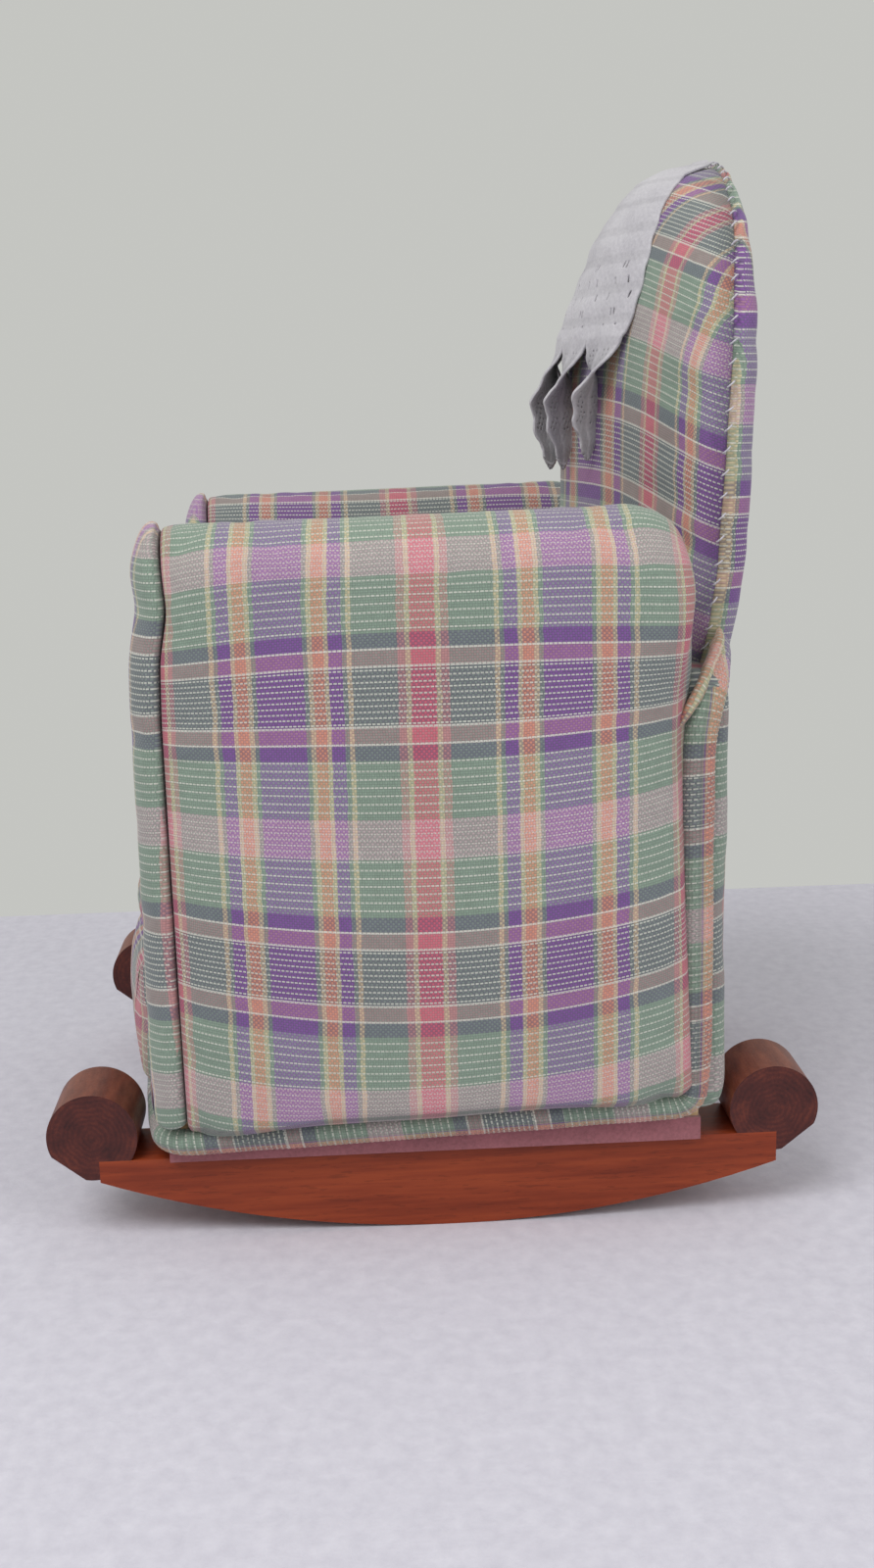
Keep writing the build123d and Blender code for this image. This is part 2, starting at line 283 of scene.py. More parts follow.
def runner_wood():
    """Stained, varnished softwood with its grain along Y."""
    g = Graph("runner_wood")
    place = g.place()
    grain = g.noise(g.scaled(place, (1.0, 0.05, 1.0)), 900.0, 4.0, 0.6)
    broad = g.noise(g.scaled(place, (1.0, 0.12, 1.0)), 120.0, 3.0)
    pores = g.noise(g.scaled(place, (1.0, 0.10, 1.0)), 2600.0, 2.0)
    stain = [
        (0.30, (0.14, 0.017, 0.004, 1.0)),
        (0.48, (0.23, 0.034, 0.009, 1.0)),
        (0.68, (0.33, 0.058, 0.015, 1.0)),
    ]
    colour = g.ramp(g.math("ADD", g.product(grain, 0.55), g.product(broad, 0.45)), stain).outputs[0]
    dark = g.scale_add(g.math("GREATER_THAN", pores, 0.62), -0.22, 1.0)
    colour = g.mix(1.0, colour, dark, "MULTIPLY")
    rough = g.scale_add(grain, 0.25, 0.38)
    return g.finish(colour, grain, 0.05, rough, 0.4, Coat_Roughness=0.25, **VARNISH)


def scroll_wood(name, centre):
    """Dowel slice: growth rings on the sawn faces, darker than the runner, with a satin varnish."""
    g = Graph(name)
    place = g.place()
    _, y, z = g.split(place)
    warped = g.product(g.math("SUBTRACT", g.noise(place, 240.0, 2.0), 0.5), 2.2 * MM)
    dy = g.math("SUBTRACT", y, centre[0] * MM)
    dz = g.math("SUBTRACT", z, centre[1] * MM)
    distance = g.math("SQRT", g.math("ADD", g.product(dy, dy), g.product(dz, dz)))
    ring_width = 0.9 * MM
    rings = g.math("SINE", g.product(g.math("ADD", distance, warped), 2 * math.pi / ring_width))
    facing = g.split(g.node("ShaderNodeNewGeometry").outputs["Normal"])[0]
    sawn = g.math("GREATER_THAN", g.math("ABSOLUTE", facing), 0.8)
    speck = g.noise(place, 2200.0, 3.0, 0.7)
    cloud = g.noise(place, 220.0, 3.0)
    mottle = g.scale_add(speck, 0.35, g.product(cloud, 0.50))
    end_stain = [
        (0.30, (0.028, 0.006, 0.006, 1.0)),
        (0.50, (0.070, 0.014, 0.011, 1.0)),
        (0.75, (0.16, 0.034, 0.018, 1.0)),
    ]
    tone = g.math("ADD", g.scale_add(rings, 0.035, 0.07), mottle)
    end_grain = g.ramp(tone, end_stain).outputs[0]
    side_stain = [
        (0.30, (0.10, 0.022, 0.011, 1.0)),
        (0.50, (0.17, 0.042, 0.021, 1.0)),
        (0.72, (0.25, 0.075, 0.037, 1.0)),
    ]
    side_grain = g.ramp(g.noise(g.scaled(place, (0.25, 1.0, 1.0)), 420.0, 4.0, 0.65), side_stain).outputs[0]
    colour = g.mix(sawn, side_grain, end_grain)
    rough = g.scale_add(speck, 0.3, 0.34)
    return g.finish(colour, speck, 0.04, rough, 0.5, Coat_Roughness=0.2, **VARNISH)


def felt():
    """Short pink fuzz, in an uneven tone."""
    g = Graph("pink_felt")
    fuzz = g.noise(g.place(), 1500.0, 4.0, 0.7)
    cloud = g.noise(g.place(), 120.0, 2.0)
    tone = g.math("ADD", g.product(fuzz, 0.7), g.product(cloud, 0.3))
    colour = g.ramp(tone, [(0.3, (0.20, 0.06, 0.07, 1.0)), (0.7, (0.37, 0.12, 0.145, 1.0))]).outputs[0]
    return g.finish(colour, fuzz, 0.15, 0.95, 0.8, Sheen_Weight=0.4, Sheen_Roughness=0.6)


def lace():
    """White crochet cotton, darker where the cloth attribute carries painted shade."""
    g = Graph("lace")
    twist = g.noise(g.place(), 1800.0, 3.0, 0.6)
    cloud = g.noise(g.place(), 90.0, 2.0)
    tone = g.math("ADD", g.product(twist, 0.5), g.product(cloud, 0.5))
    colour = g.ramp(tone, [(0.3, (0.41, 0.395, 0.43, 1.0)), (0.7, (0.60, 0.585, 0.615, 1.0))]).outputs[0]
    lit = g.math("SUBTRACT", 1.0, g.cloth()[2])
    colour = g.mix(1.0, colour, lit, "MULTIPLY")
    return g.finish(colour, twist, 0.12, 0.85, 0.8, Sheen_Weight=0.2, Sheen_Roughness=0.5)


def speckled(name, tones, texture, bump, rough, stretch=(1, 1, 1), **constants):
    """Two tones mixed by noise, which also raises the surface.

    Texture is the noise's scale, detail and roughness, and bump is its depth in mm and its strength.
    """
    g = Graph(name)
    tone = g.noise(g.scaled(g.place(), stretch), *texture)
    low, high = tones
    colour = g.ramp(tone, [(0.3, (*low, 1.0)), (0.7, (*high, 1.0))]).outputs[0]
    depth, strength = bump
    return g.finish(colour, tone, depth, rough, strength, **constants)


# ---- mesh making


def swell(points, faces, free, reach, pressure=3.0, spare=0.03):
    """Where a cloth simulation with air inside takes the free points, each moved at most reach, in mm.

    The trial mesh is enlarged, because the solver is made for metres. Its seams are pinned, and its cloth has
    a little to spare, so that it fills out between the seams and gathers along them.
    """
    enlarged = 10 * MM
    frames = 20
    _, first, place = np.unique(points.round(2), axis=0, return_index=True, return_inverse=True)
    place = place.ravel()
    spots = points[first]
    mesh = bpy.data.meshes.new("trial")
    corners = [list(dict.fromkeys(int(place[i]) for i in face)) for face in faces]
    mesh.from_pydata((spots * enlarged).tolist(), [], [c for c in corners if len(c) > 2])
    shape = bmesh.new()
    shape.from_mesh(mesh)
    bmesh.ops.recalc_face_normals(shape, faces=shape.faces)
    shape.to_mesh(mesh)
    shape.free()
    trial = bpy.data.objects.new("trial", mesh)
    bpy.context.scene.collection.objects.link(trial)
    pins = trial.vertex_groups.new(name="pins")
    pins.add(np.flatnonzero(~free[first]).tolist(), 1.0, "REPLACE")
    cloth = trial.modifiers.new("cloth", "CLOTH")
    cloth.point_cache.frame_start = 1
    cloth.point_cache.frame_end = frames
    cloth.collision_settings.use_collision = False
    fabric = cloth.settings
    fabric.vertex_group_mass = "pins"
    fabric.effector_weights.gravity = 0
    fabric.use_pressure = True
    fabric.uniform_pressure_force = pressure
    fabric.shrink_min = -spare
    fabric.bending_stiffness = 0.2
    for frame_number in range(1, frames + 1):
        bpy.context.scene.frame_set(frame_number)
    settled = trial.evaluated_get(bpy.context.evaluated_depsgraph_get()).to_mesh()
    found = np.empty(len(spots) * 3, np.float32)
    settled.vertices.foreach_get("co", found)
    moved = np.clip(found.reshape(-1, 3) / enlarged - spots, -np.array(reach), reach)
    bpy.data.objects.remove(trial)
    bpy.data.meshes.remove(mesh)
    bpy.context.scene.frame_set(1)
    return points + moved[place]


def build(name, points, faces, cloth, material, body=CHAIR, levels=1, reach=None, free=None):
    """A piece from points in mm, faces, and each point's place in the flat cloth (across, along, painted
    shade).

    With reach, the cloth is simulated: it is pinned where it has painted shade, which is along its seams.
    """
    points = np.asarray(points, float).reshape(-1, 3)
    cloth = np.asarray(cloth, np.float32).reshape(-1, 3)
    if reach:
        loose = (cloth[:, 2] == 0) if free is None else (cloth[:, 2] == 0) & np.ravel(free)
        points = swell(points, faces, loose, reach)
    mesh = bpy.data.meshes.new(name)
    mesh.from_pydata((points * MM).tolist(), [], faces)
    place = mesh.attributes.new("cloth", "FLOAT_VECTOR", "POINT")
    place.data.foreach_set("vector", cloth.ravel())
    shape = bmesh.new()
    shape.from_mesh(mesh)
    bmesh.ops.remove_doubles(shape, verts=shape.verts, dist=0.01 * MM)
    bmesh.ops.dissolve_degenerate(shape, edges=shape.edges, dist=0.002 * MM)
    bmesh.ops.recalc_face_normals(shape, faces=shape.faces)
    shape.to_mesh(mesh)
    shape.free()
    mesh.polygons.foreach_set("use_smooth", [True] * len(mesh.polygons))
    mesh.materials.append(material)
    piece = bpy.data.objects.new(name, mesh)
    bpy.context.scene.collection.objects.link(piece)
    if levels:
        smooth = piece.modifiers.new("subdivision", "SUBSURF")
        smooth.levels = levels
        smooth.render_levels = levels
    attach(piece, body)
    return piece


def loft_faces(rings, count, closed=True):
    """Quads between rings of points, each ring closed on itself."""
    steps = count if closed else count - 1
    return [
        (r * count + i, r * count + (i + 1) % count, (r + 1) * count + (i + 1) % count, (r + 1) * count + i)
        for r in range(rings - 1)
        for i in range(steps)
    ]


def joined(*values):
    """Columns of numbers side by side, one row for each point. A single number is the same in every row."""
    return np.stack(np.broadcast_arrays(*values), 1)


def spaced(corners, step, closed=True):
    """Points a step apart along a line through the corners, each corner kept."""
    line = list(corners) + ([corners[0]] if closed else [])
    found = []
    for a, b in zip(line[:-1], line[1:]):
        a, b = np.array(a, float), np.array(b, float)
        parts = max(1, round(float(np.linalg.norm(b - a)) / step))
        found += [a + (b - a) * k / parts for k in range(parts)]
    if not closed:
        found.append(np.array(line[-1], float))
    return np.array(found)


def outward(outline):
    """Unit normals that point out of a closed outline, smoothed along it."""
    along = np.roll(outline, -1, 0) - np.roll(outline, 1, 0)
    normal = joined(along[:, 1], -along[:, 0])
    turning = np.sum(outline[:, 0] * np.roll(outline[:, 1], -1) - np.roll(outline[:, 0], -1) * outline[:, 1])
    normal *= np.sign(turning)
    return normal / np.linalg.norm(normal, axis=1, keepdims=True)


def rounded_box(x0, x1, y0, y1, radius, step):
    """Closed outline of a rectangle with round corners."""
    corners = []
    for cx, cy, start in ((x1, y1, 0), (x0, y1, 90), (x0, y0, 180), (x1, y0, 270)):
        x = cx - np.sign(cx - (x0 + x1) / 2) * radius
        y = cy - np.sign(cy - (y0 + y1) / 2) * radius
        for turn in np.radians(np.linspace(start, start + 90, 6)):
            corners.append((x + radius * math.cos(turn), y + radius * math.sin(turn)))
    return spaced(corners, step)


def pad_rings(outline, normal, spine, profile, crown, shares=(0.8, 0.6, 0.4, 0.2, 0.0)):
    """Rings of a padded panel: its back, its seam, its face. The profile is (inset, height, painted shade)."""
    rings = [(outline - normal * inset, height, shade) for inset, height, shade in profile]
    face, back = rings[-1][0], rings[0][0]
    _, bottom, shaded = profile[0]
    top = profile[-1][1]
    rings += [(spine + (face - spine) * share, top + crown * (1 - share), 0) for share in shares]
    return [(spine + (back - spine) * share, bottom, shaded) for share in (0.0, 0.5)] + rings


def upholster(name, rings, cloth, reach, stands_for, body=CHAIR, free=None):
    """A padded plaid piece from its rings, in place of the CAD nodes that it stands for."""
    faces = loft_faces(len(rings), len(rings[0]))
    piece = build(name, rings, faces, cloth, PLAID, body, reach=reach, free=free)
    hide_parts(*stands_for)


def pucker(points, size, height, seed):
    """Smooth random height for each point, for the small hollows and folds of stretched cloth."""
    return np.array([noise.noise(Vector(p) / size + Vector((seed, 0, 0))) for p in points]) * height


# ---- materials in use

PLAID = plaid()
RUNNER = runner_wood()
FELT = felt()
LACE = lace()
PLY_TONES = ((0.50, 0.33, 0.17), (0.70, 0.52, 0.31))
PLY = speckled("plywood", PLY_TONES, (700.0, 4.0, 0.6), (0.05, 0.4), 0.75, stretch=(1.0, 0.08, 1.0))
THREAD_TONES = ((0.34, 0.32, 0.38), (0.66, 0.64, 0.68))
THREAD_LINEN = speckled("linen_thread", THREAD_TONES, (3200.0, 2.0), (0.03, 0.8), 0.8)
STEEL_TONES = ((0.42, 0.42, 0.42), (0.62, 0.62, 0.62))
STEEL = speckled("screw_steel", STEEL_TONES, (1800.0, 3.0, 0.6), (0.02, 0.4), 0.35, Metallic=1.0)
FLOOR_TONES = ((0.57, 0.555, 0.63), (0.65, 0.635, 0.71))
PALE_FLOOR = speckled("floor", FLOOR_TONES, (300.0, 4.0, 0.6), (0.3, 0.5), 0.95)


def size(node):
    """Lowest and highest corner of a CAD node, in mm."""
    return [np.array(corner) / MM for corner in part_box(node)]


ARM_LOW, ARM_HIGH = size("left_arm_cover")
PAD_LOW, PAD_HIGH = size("left_arm_front_pad")
BACK_LOW, BACK_HIGH = size("backrest_cover")
PANEL_LOW, PANEL_HIGH = size("backrest_rear_panel")
BODY_LOW, BODY_HIGH = size("body_back_cover")
SEAT_LOW, SEAT_HIGH = size("seat_cushion_cover")
APRON_LOW, APRON_HIGH = size("apron_cover")
PIPE_LOW, PIPE_HIGH = size("foot_piping")
DECK_TOP = size("seat_deck")[1][2]

# ---- arms

ARM_FOOT = ARM_LOW[2] + 0.4
ARM_SHOULDER = ARM_HIGH[2] - 11.6
ARM_MIDDLE = (ARM_LOW[0] + ARM_HIGH[0]) / 2
ARM_HALF_LENGTH = ARM_HIGH[1]
# Where the arm's cloth goes down behind the piping
TUCKED_IN, TUCKED_DOWN = ARM_MIDDLE + 2.2, 3.6
PAD_FOOT = PAD_LOW[2] - 1.2
# Height at which the middle of the lower slate band crosses the arm
SLATE_HEIGHT = 50.65


def arm_side(z):
    """How far out the arm's outer side stands at height z: fullest above the middle, drawn in at the foot."""
    fullest = ARM_FOOT + 50.0
    low = np.minimum(z - fullest, 0) / 50.0
    high = np.maximum(z - fullest, 0) / 41.0
    return ARM_HIGH[0] - 0.7 - 1.7 * low**2 - 0.5 * high**2


def arm_outline(foot, inner_foot, step=2.0):
    """Section of one arm, up its outer side and down its inner side, and the length of cloth along it."""
    heights = np.linspace(foot, ARM_SHOULDER, round((ARM_SHOULDER - foot) / step))
    outer = joined(arm_side(heights), heights)
    turn = np.radians(np.linspace(0, 180, 17))[1:-1]
    reach = np.where(turn < math.pi / 2, arm_side(ARM_SHOULDER) - ARM_MIDDLE, ARM_MIDDLE - ARM_LOW[0])
    crown_height = ARM_HIGH[2] - 0.4 - ARM_SHOULDER
    rise = crown_height * np.sin(turn) ** 0.9
    crown = joined(ARM_MIDDLE + reach * np.cos(turn), ARM_SHOULDER + rise)
    heights = np.linspace(ARM_SHOULDER, inner_foot, round((ARM_SHOULDER - inner_foot) / step))
    inner = joined(ARM_LOW[0], heights)
    corners = [(ARM_LOW[0], inner_foot), (arm_side(foot), foot)]
    if inner_foot > foot:
        corners[1:1] = [(TUCKED_IN, inner_foot), (TUCKED_IN, foot - TUCKED_DOWN)]
    hidden = spaced(corners, step, closed=False)[1:-1]
    outline = np.concatenate([outer, crown, inner, hidden])
    steps = np.linalg.norm(np.diff(outline, axis=0), axis=1)
    return outline, foot - SLATE_HEIGHT + np.concatenate([[0], np.cumsum(steps)])


def arm_seam(z):
    """Y of the sewn line between the arm and its front pad: it wanders a little near the top."""
    return ARM_LOW[1] + np.interp(z, [24, 95, 105, 113, 119, 127], [0.4, 0.1, 0.4, 1.9, 1.4, 1.0])


def arm_rear(z):
    """Y of the arm's rear edge."""
    heights = [24, 64, 88, 97, 103, 110, 113, 120, 130]
    return ARM_HIGH[1] + np.interp(z, heights, [1.4, -0.8, -2.0, -1.6, -0.4, 0.9, 1.6, 1.1, 0.6])


def weft_rise(y, z):
    """How much higher a crosswise thread runs near the arm's ends, where the cloth is drawn up."""
    heights = [41, 60, 88, 107]
    front = np.interp(z, heights, [4.8, 4.1, 2.1, -1.8]) * np.clip(-y / 42, 0, 1.1) ** 2
    rear = np.interp(z, heights, [4.4, 4.3, 4.1, 0.0]) * np.clip(y / 40, 0, 1.1) ** 2
    return front + rear


def arm_cover(side, word):
    """Cloth over one arm, as rows of its section from the front cap, along the arm, to the rear cap."""
    outline, along = arm_outline(ARM_FOOT, DECK_TOP + 0.6)
    normal = outward(outline)
    z = outline[:, 1]
    front, rear = arm_seam(z) + 0.2, arm_rear(z)
    front_round = 1.5
    rear_round = 3.0 + 6.5 * np.clip((z - 108) / 14, 0, 1)
    stations = 42
    start, end = front + front_round, rear - rear_round
    spine_x = np.where(z < DECK_TOP + 2, ARM_HIGH[0] - 5, ARM_MIDDLE)
    spine = joined(spine_x, np.clip(z, 30, ARM_SHOULDER))

    # Each row: section, Y, painted shade where the cloth rounds into its seams and caps, and place across the
    # cloth
    rows = []
    for share in (0.0, 0.5):
        rows.append((spine + (outline - normal * 1.8 - spine) * share, front, 0.35, front - 2))
    for turn in np.radians([0, 30, 60]):
        hollow = 1 - math.sin(turn)
        y = front + front_round * (1 - math.cos(turn))
        rows.append((outline - normal * hollow, y, 0.35 * hollow, start - 1.6 * (math.pi / 2 - turn)))
    for f in np.arange(stations + 1) / stations:
        y = start + (end - start) * f
        edge = min(f, 1 - f)
        full = 1 - (1 - min(edge / 0.16, 1)) ** 2
        ripple = 0.30 * math.exp(-edge * 22)
        points = joined(outline[:, 0], y, z)
        fold = pucker(points * [1, 0.35, 1], 5.0, ripple, 3.0) + pucker(points, 26.0, 0.30, 9.0)
        rows.append((outline + normal * (0.75 * full - 0.15 + fold)[:, None], y, 0.0, y))
    for turn in np.radians([18, 36, 54, 72, 90]):
        inset = rear_round * (1 - math.cos(turn)) + 0.15
        y = end + rear_round * math.sin(turn)
        shade = 0.12 * math.sin(turn) ** 4
        rows.append((outline - normal * inset[:, None], y, shade, end + rear_round * turn))
    last = rows[-1][0]
    rear_cap = ARM_HALF_LENGTH + 1.6
    for share in (0.66, 0.33, 0.0):
        y = rear + (rear_cap - rear) * (1 - share) ** 0.7
        rows.append((spine + (last - spine) * share, y, 0.15, rear + 4))

    points, cloth = [], []
    crown = np.clip((z - 105) / 20, 0, 1)
    foot = np.clip((44 - z) / 20, 0, 1)
    for section, y, shade, across in rows:
        lift = 0.7 * (y / 43) * crown + np.interp(y / ARM_HALF_LENGTH, [-1, 0, 1], [-1.2, 0, 1.5]) * foot
        points.append(joined(side * section[:, 0], y, section[:, 1] + lift))
        ends = 1.9 * np.exp((y - rear) / 2.2) - 1.7 * np.exp((front - y) / 2.2)
        ends -= 1.3 * np.clip(-y / ARM_HALF_LENGTH, 0, 1) ** 2
        height = along - weft_rise(y, section[:, 1])
        cloth.append(joined(across + 0.6 + ends, height, shade))
    free = np.tile(outline[:, 0] > ARM_MIDDLE - 4, len(rows))
    covered = [f"{word}_arm_cover", f"{word}_arm_wadding"]
    upholster(f"{word}_arm", points, cloth, (0.9, 0.5, 0.7), covered, free=free)


def front_pad(side, word):
    """Padded panel sewn to the front end of one arm."""
    outline, _ = arm_outline(PAD_FOOT, PAD_FOOT)
    low = outline[:, 1] < PAD_LOW[2] + 4
    drawn_in = (4 - (outline[low, 1] - PAD_LOW[2])) * 0.10
    outline[low, 0] += np.sign(ARM_MIDDLE - outline[low, 0]) * drawn_in
    normal = outward(outline)
    z = outline[:, 1]
    depth = np.interp(z, [24, 72, 112, 119, 124, 128], [5.3, 4.6, 4.4, 4.5, 4.3, 3.9])
    spine = joined(ARM_MIDDLE, np.clip(z, PAD_LOW[2] + 9, ARM_SHOULDER))
    top_inset = 0.4 * np.clip((z - 116) / 8, 0, 1)[:, None]
    # From the seam to the face: inset from the outline, share of the depth, painted shade along the seam
    profile = [(1.1, -0.08, 0.5), (0.9, 0.0, 0.3), (0.4, 0.08, 0.05), (0.1, 0.22, 0), (-0.1, 0.42, 0)]
    profile += [(0.15, 0.62, 0), (1.2, 0.82, 0), (2.8, 0.95, 0), (5.2, 1.0, 0)]
    points, cloth = [], []
    rings = pad_rings(outline - normal * top_inset, normal, spine, profile, 0.03, (0.6, 0.3, 0.0))
    for section, lift, shade in rings:
        y = arm_seam(z) - 0.25 - depth * lift
        at = joined(section[:, 0], y, section[:, 1])
        at[:, :2] += pucker(at, 6.0, 0.22, 5.0)[:, None] * 0.6
        points.append(at * [side, 1, 1])
        reach = ARM_HIGH[0] - section[:, 0] + depth * lift
        across = -np.interp(z, [60, 90], [1.2, 3.0]) - reach * 1.15
        cloth.append(joined(across, section[:, 1] - SLATE_HEIGHT - 3.4, shade))
    covered = [f"{word}_arm_front_pad", f"{word}_arm_front_card"]
    upholster(f"{word}_arm_front", points, cloth, (0.4, 0.6, 0.4), covered)


for side, word in ((1, "left"), (-1, "right")):
    arm_cover(side, word)
    front_pad(side, word)

# ---- backrest

ARCH_REACH = BACK_HIGH[0]
ARCH_CENTRE = PANEL_HIGH[2] - ARCH_REACH - 0.3
BACK_FOOT = BACK_LOW[2]
PANEL_FOOT = PANEL_LOW[2] - 1.2
SPINE_RISE = 14
PAD_REACH = ARCH_REACH - 0.4


def arch(reach, step=1.9, foot=BACK_FOOT):
    """Outline of the backrest seen from the front, from its +X side over the top and back along its foot."""
    turn = np.radians(np.linspace(0, 180, round(math.pi * reach / step) + 1))
    top = joined(reach * np.cos(turn), ARCH_CENTRE + reach * np.sin(turn))
    feet = spaced([(-reach, ARCH_CENTRE), (-reach, foot), (reach, foot), (reach, ARCH_CENTRE)], step, False)
    outline = np.concatenate([top, feet[1:-1]])
    spine = joined(0, np.clip(outline[:, 1], foot + SPINE_RISE, ARCH_CENTRE))
    return outline, spine


def back_seam(z):
    """Y of the sewn edge between the backrest's front cover and its rear panel."""
    heights = [78, 92.6, 101, 108, 115, 125, 139, 150, 163, 176, 188]
    return np.interp(z, heights, [42.5, 47.4, 49.9, 51.3, 52.3, 52.9, 53.8, 54.4, 55.3, 56.9, 58.2])


def back_rear(z):
    """Y of the flat of the rear panel."""
    heights = [90, 97, 103, 109, 118, 139, 150, 163, 177, 188]
    return np.interp(z, heights, [50.5, 53.6, 54.8, 56.1, 57.4, 58.2, 58.7, 59, 59, 58.7])


def back_middle(z):
    """Y of the front pad along its middle line, where it is fullest."""
    return np.interp(z, [50, 141, 160, 175, 189], [30.4, 30.4, 31.6, 34, 37])


def back_depth(r, upward):
    """Share of the full depth that the front pad has at r, from the middle line (0) to the seam (1)."""
    places = [0, 0.12, 0.25, 0.44, 0.69, 0.80, 0.88, 0.94, 0.975, 1]
    sideways = np.interp(r, places, [1, 0.98, 0.93, 0.80, 0.59, 0.47, 0.36, 0.24, 0.13, 0])
    places = [0, 0.12, 0.25, 0.43, 0.68, 0.84, 0.92, 0.975, 1]
    up = np.interp(r, places, [1, 0.985, 0.96, 0.91, 0.80, 0.63, 0.48, 0.26, 0])
    return sideways + (up - sideways) * upward


def backrest_front(r, outline, spine):
    """The front pad's points at r, from its middle line (0) to its seam (1), and their place in the cloth."""
    section = spine + (outline - spine) * r
    arm = outline - spine
    upward = (arm[:, 1] / np.maximum(np.linalg.norm(arm, axis=1), 1e-6)) ** 2
    seam = back_seam(outline[:, 1])
    y = seam - (seam - back_middle(section[:, 1])) * back_depth(r, upward)
    points = joined(section[:, 0], y, section[:, 1])
    drawn_in = points[:, 0] * (1 + 0.15 * np.clip((points[:, 2] - 160) / 17, 0, 1.5))
    across = np.interp(drawn_in, [-56, 24, 31.8, 37.5, 40.7, 46], [-93.9, -13.9, 0, 16.7, 25, 30])
    over = np.maximum(y - 37, 0) * np.maximum(arm[:, 1], 0) / ARCH_REACH * 0.3
    along = points[:, 2] + 10 * r**4 * (1 - 0.3 * upward) + over - 137.5
    return points, joined(across, along, 0)


def relaxed(values, times):
    """Values round a closed ring, each evened out with its neighbours."""
    for _ in range(times):
        values = (np.roll(values, 1, 0) + values * 2 + np.roll(values, -1, 0)) / 4
    return values


def backrest_pad():
    """Crowned front of the backrest, closed behind by a flat back inside the seam."""
    outline, spine = arch(PAD_REACH)
    radii = [0, 0.1, 0.2, 0.3, 0.4, 0.5, 0.6, 0.69, 0.76, 0.82, 0.87, 0.91, 0.945, 0.97, 0.988, 1]
    points, cloth = [], []
    for r in radii:
        at, place = backrest_front(r, outline, spine)
        at[:, 1] = relaxed(at[:, 1], 3)
        at[:, 1] += pucker(at, 22.0, 0.7 * (1 - r), 1.0) + pucker(at * [1, 1, 2], 7.0, 0.35 * r**4, 2.0)
        # Painted shade in the last rings before the seam
        place[:, 2] = 0.35 * max(0, r - 0.975) / 0.025
        points.append(at)
        cloth.append(place)
    for inset, back in ((1.4, 0.7), (6, 1.0), (14, 1.2)):
        at = points[-1].copy()
        section = outline - outward(outline) * inset
        at[:, 0], at[:, 2] = section[:, 0], section[:, 1]
        at[:, 1] = back_seam(outline[:, 1]) + back
        points.append(at)
        cloth.append(cloth[len(radii) - 1])
    at = points[-1].copy()
    at[:, 0], at[:, 2] = spine[:, 0], spine[:, 1]
    points.append(at)
    cloth.append(cloth[-1])
    covered = ["backrest_cover", "backrest_wadding"]
    upholster("backrest_front_pad", points, cloth, (0.3, 0.6, 0.3), covered)


def backrest_panel():
    """Padded panel behind the backrest, rounded over to the seam."""
    outline, spine = arch(ARCH_REACH + 0.1, foot=PANEL_FOOT)
    z = outline[:, 1]
    seam, rear = back_seam(z), back_rear(z)
    # Profile: inset, depth share, painted shade along the seam and on the hidden back
    profile = [(1.4, -0.05, 0.4), (1.0, 0.03, 0.25), (0.3, 0.14, 0), (-0.25, 0.34, 0), (-0.3, 0.55, 0)]
    profile += [(0.1, 0.75, 0), (0.9, 0.90, 0), (2.0, 0.98, 0), (4.0, 1.0, 0), (8.0, 1.04, 0)]
    points, cloth = [], []
    shares = (0.75, 0.5, 0.25, 0.0)
    for section, lift, shade in pad_rings(outline, outward(outline), spine, profile, 0.12, shares):
        y = seam + (rear - seam) * lift
        at = joined(section[:, 0], y, section[:, 1])
        at += pucker(at, 9.0, 0.25, 7.0)[:, None] * [0.5, 1, 0.3]
        across = np.abs(section[:, 0]) + (rear - y) - 16.0
        points.append(at)
        cloth.append(joined(across, section[:, 1] - 120.0, shade))
    upholster("backrest_back", points, cloth, (0.3, 0.7, 0.3), ["backrest_rear_panel"])


backrest_pad()
backrest_panel()

# ---- body back, apron and seat cushion


def body_back():
    """Padded back of the body, wrapped round the edges of the carcass back board."""
    wrap = BODY_HIGH[0] + 1.2
    outline = rounded_box(-wrap, wrap, BODY_LOW[2] + 0.5, BODY_HIGH[2] + 1.8, 4.0, 2.0)
    middle = (BODY_LOW[2] + BODY_HIGH[2]) / 2
    spine = joined(np.clip(outline[:, 0], -40, 40), middle)
    thick = BODY_HIGH[1] - BODY_LOW[1]
    round_board = 7.0
    # Profile: inset, height, painted shade where the cloth wraps round the board's edge and on the hidden back
    profile = [(1.2, 0.0, 0.4), (0.3, 0.12, 0.2), (0, 0.3, 0), (0.2, 0.55, 0), (1.0, 0.8, 0)]
    profile += [(2.4, 0.94, 0), (5, 1.0, 0)]
    points, cloth = [], []
    for section, height, shade in pad_rings(outline, outward(outline), spine, profile, 0.08):
        y = BODY_LOW[1] + thick * height - round_board * max(0, 0.5 - height)
        at = joined(section[:, 0], y, section[:, 1])
        at[:, 1] += pucker(at, 14.0, 0.35, 4.0) * height
        points.append(at)
        cloth.append(joined(section[:, 0], section[:, 1] - SLATE_HEIGHT, shade))
    covered = ["body_back_cover", "body_back_wadding"]
    upholster("body_back", points, cloth, (0.3, 0.8, 0.3), covered)


def bow(x, side_y, middle_y, half):
    """Y of a front that is bowed forward in the middle."""
    return middle_y + (side_y - middle_y) * np.clip(np.abs(x) / half, 0, 1) ** 2


